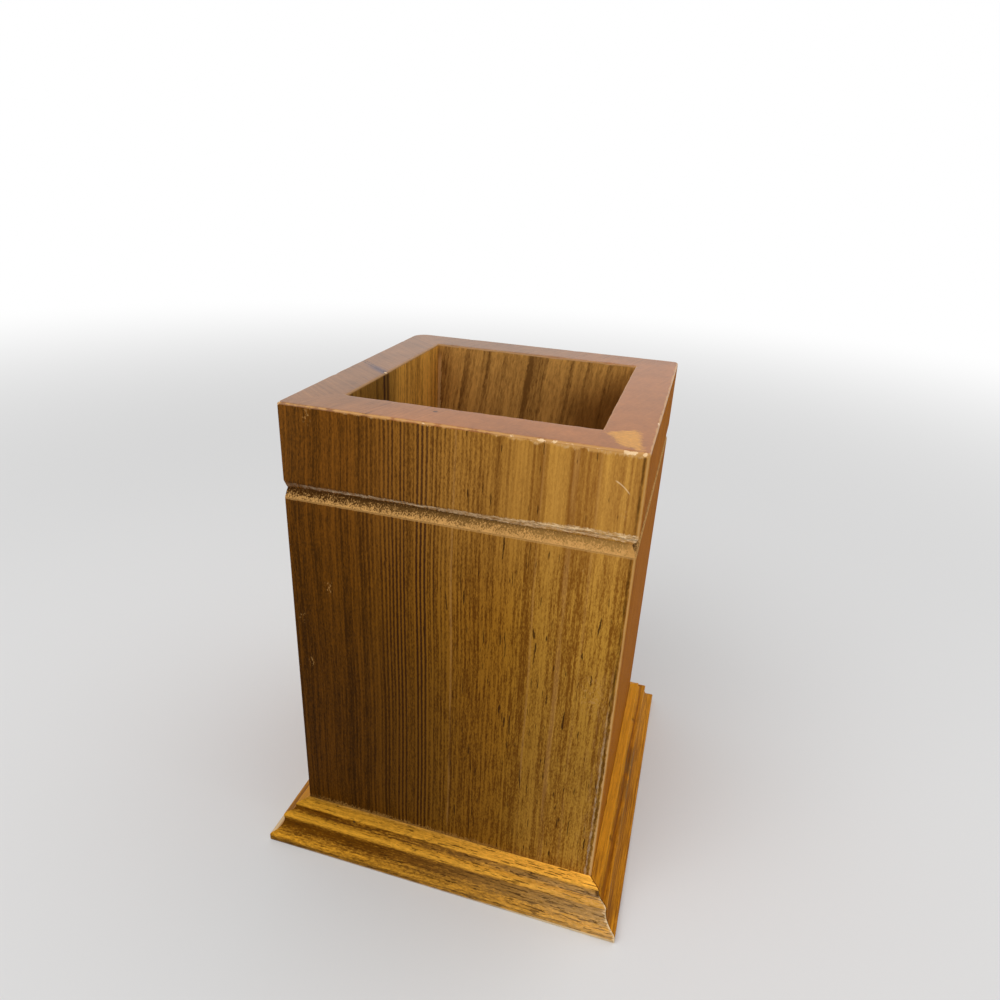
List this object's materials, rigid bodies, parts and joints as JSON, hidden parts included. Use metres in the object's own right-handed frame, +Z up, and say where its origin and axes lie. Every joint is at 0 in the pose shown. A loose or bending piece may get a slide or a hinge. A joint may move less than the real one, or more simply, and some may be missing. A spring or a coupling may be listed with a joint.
{
  "type": "pen stand",
  "caption": "Square open-topped wooden pen stand with thick mitred walls, a V-groove round the post below the rim, a let-in floor and a stepped moulding round the foot.",
  "frame": {"origin": "centre of the resting face, under the middle of the post, at the level of the desk", "axes": "+X to the right along the front board, +Y from the front board to the back board, +Z up out of the open top"},
  "size_m": [0.0964, 0.0964, 0.1255],
  "materials": {
    "front_wood": "satin varnish over brown open-grained wood, grain upright",
    "side_wood": "satin varnish over reddish brown open-grained wood, grain upright",
    "floor_wood": "thin matt varnish",
    "moulding_wood": "golden satin varnish over open-grained wood, grain along the moulding",
    "pin_steel": "dull, set below the surface"
  },
  "bodies": {
    "root": {"front_board": "front_wood", "right_board": "side_wood", "back_board": "side_wood", "left_board": "side_wood", "floor_board": "floor_wood", "front_moulding": "moulding_wood", "right_moulding": "moulding_wood", "back_moulding": "moulding_wood", "left_moulding": "moulding_wood", "moulding_pins": "pin_steel"}
  },
  "joints": []
}
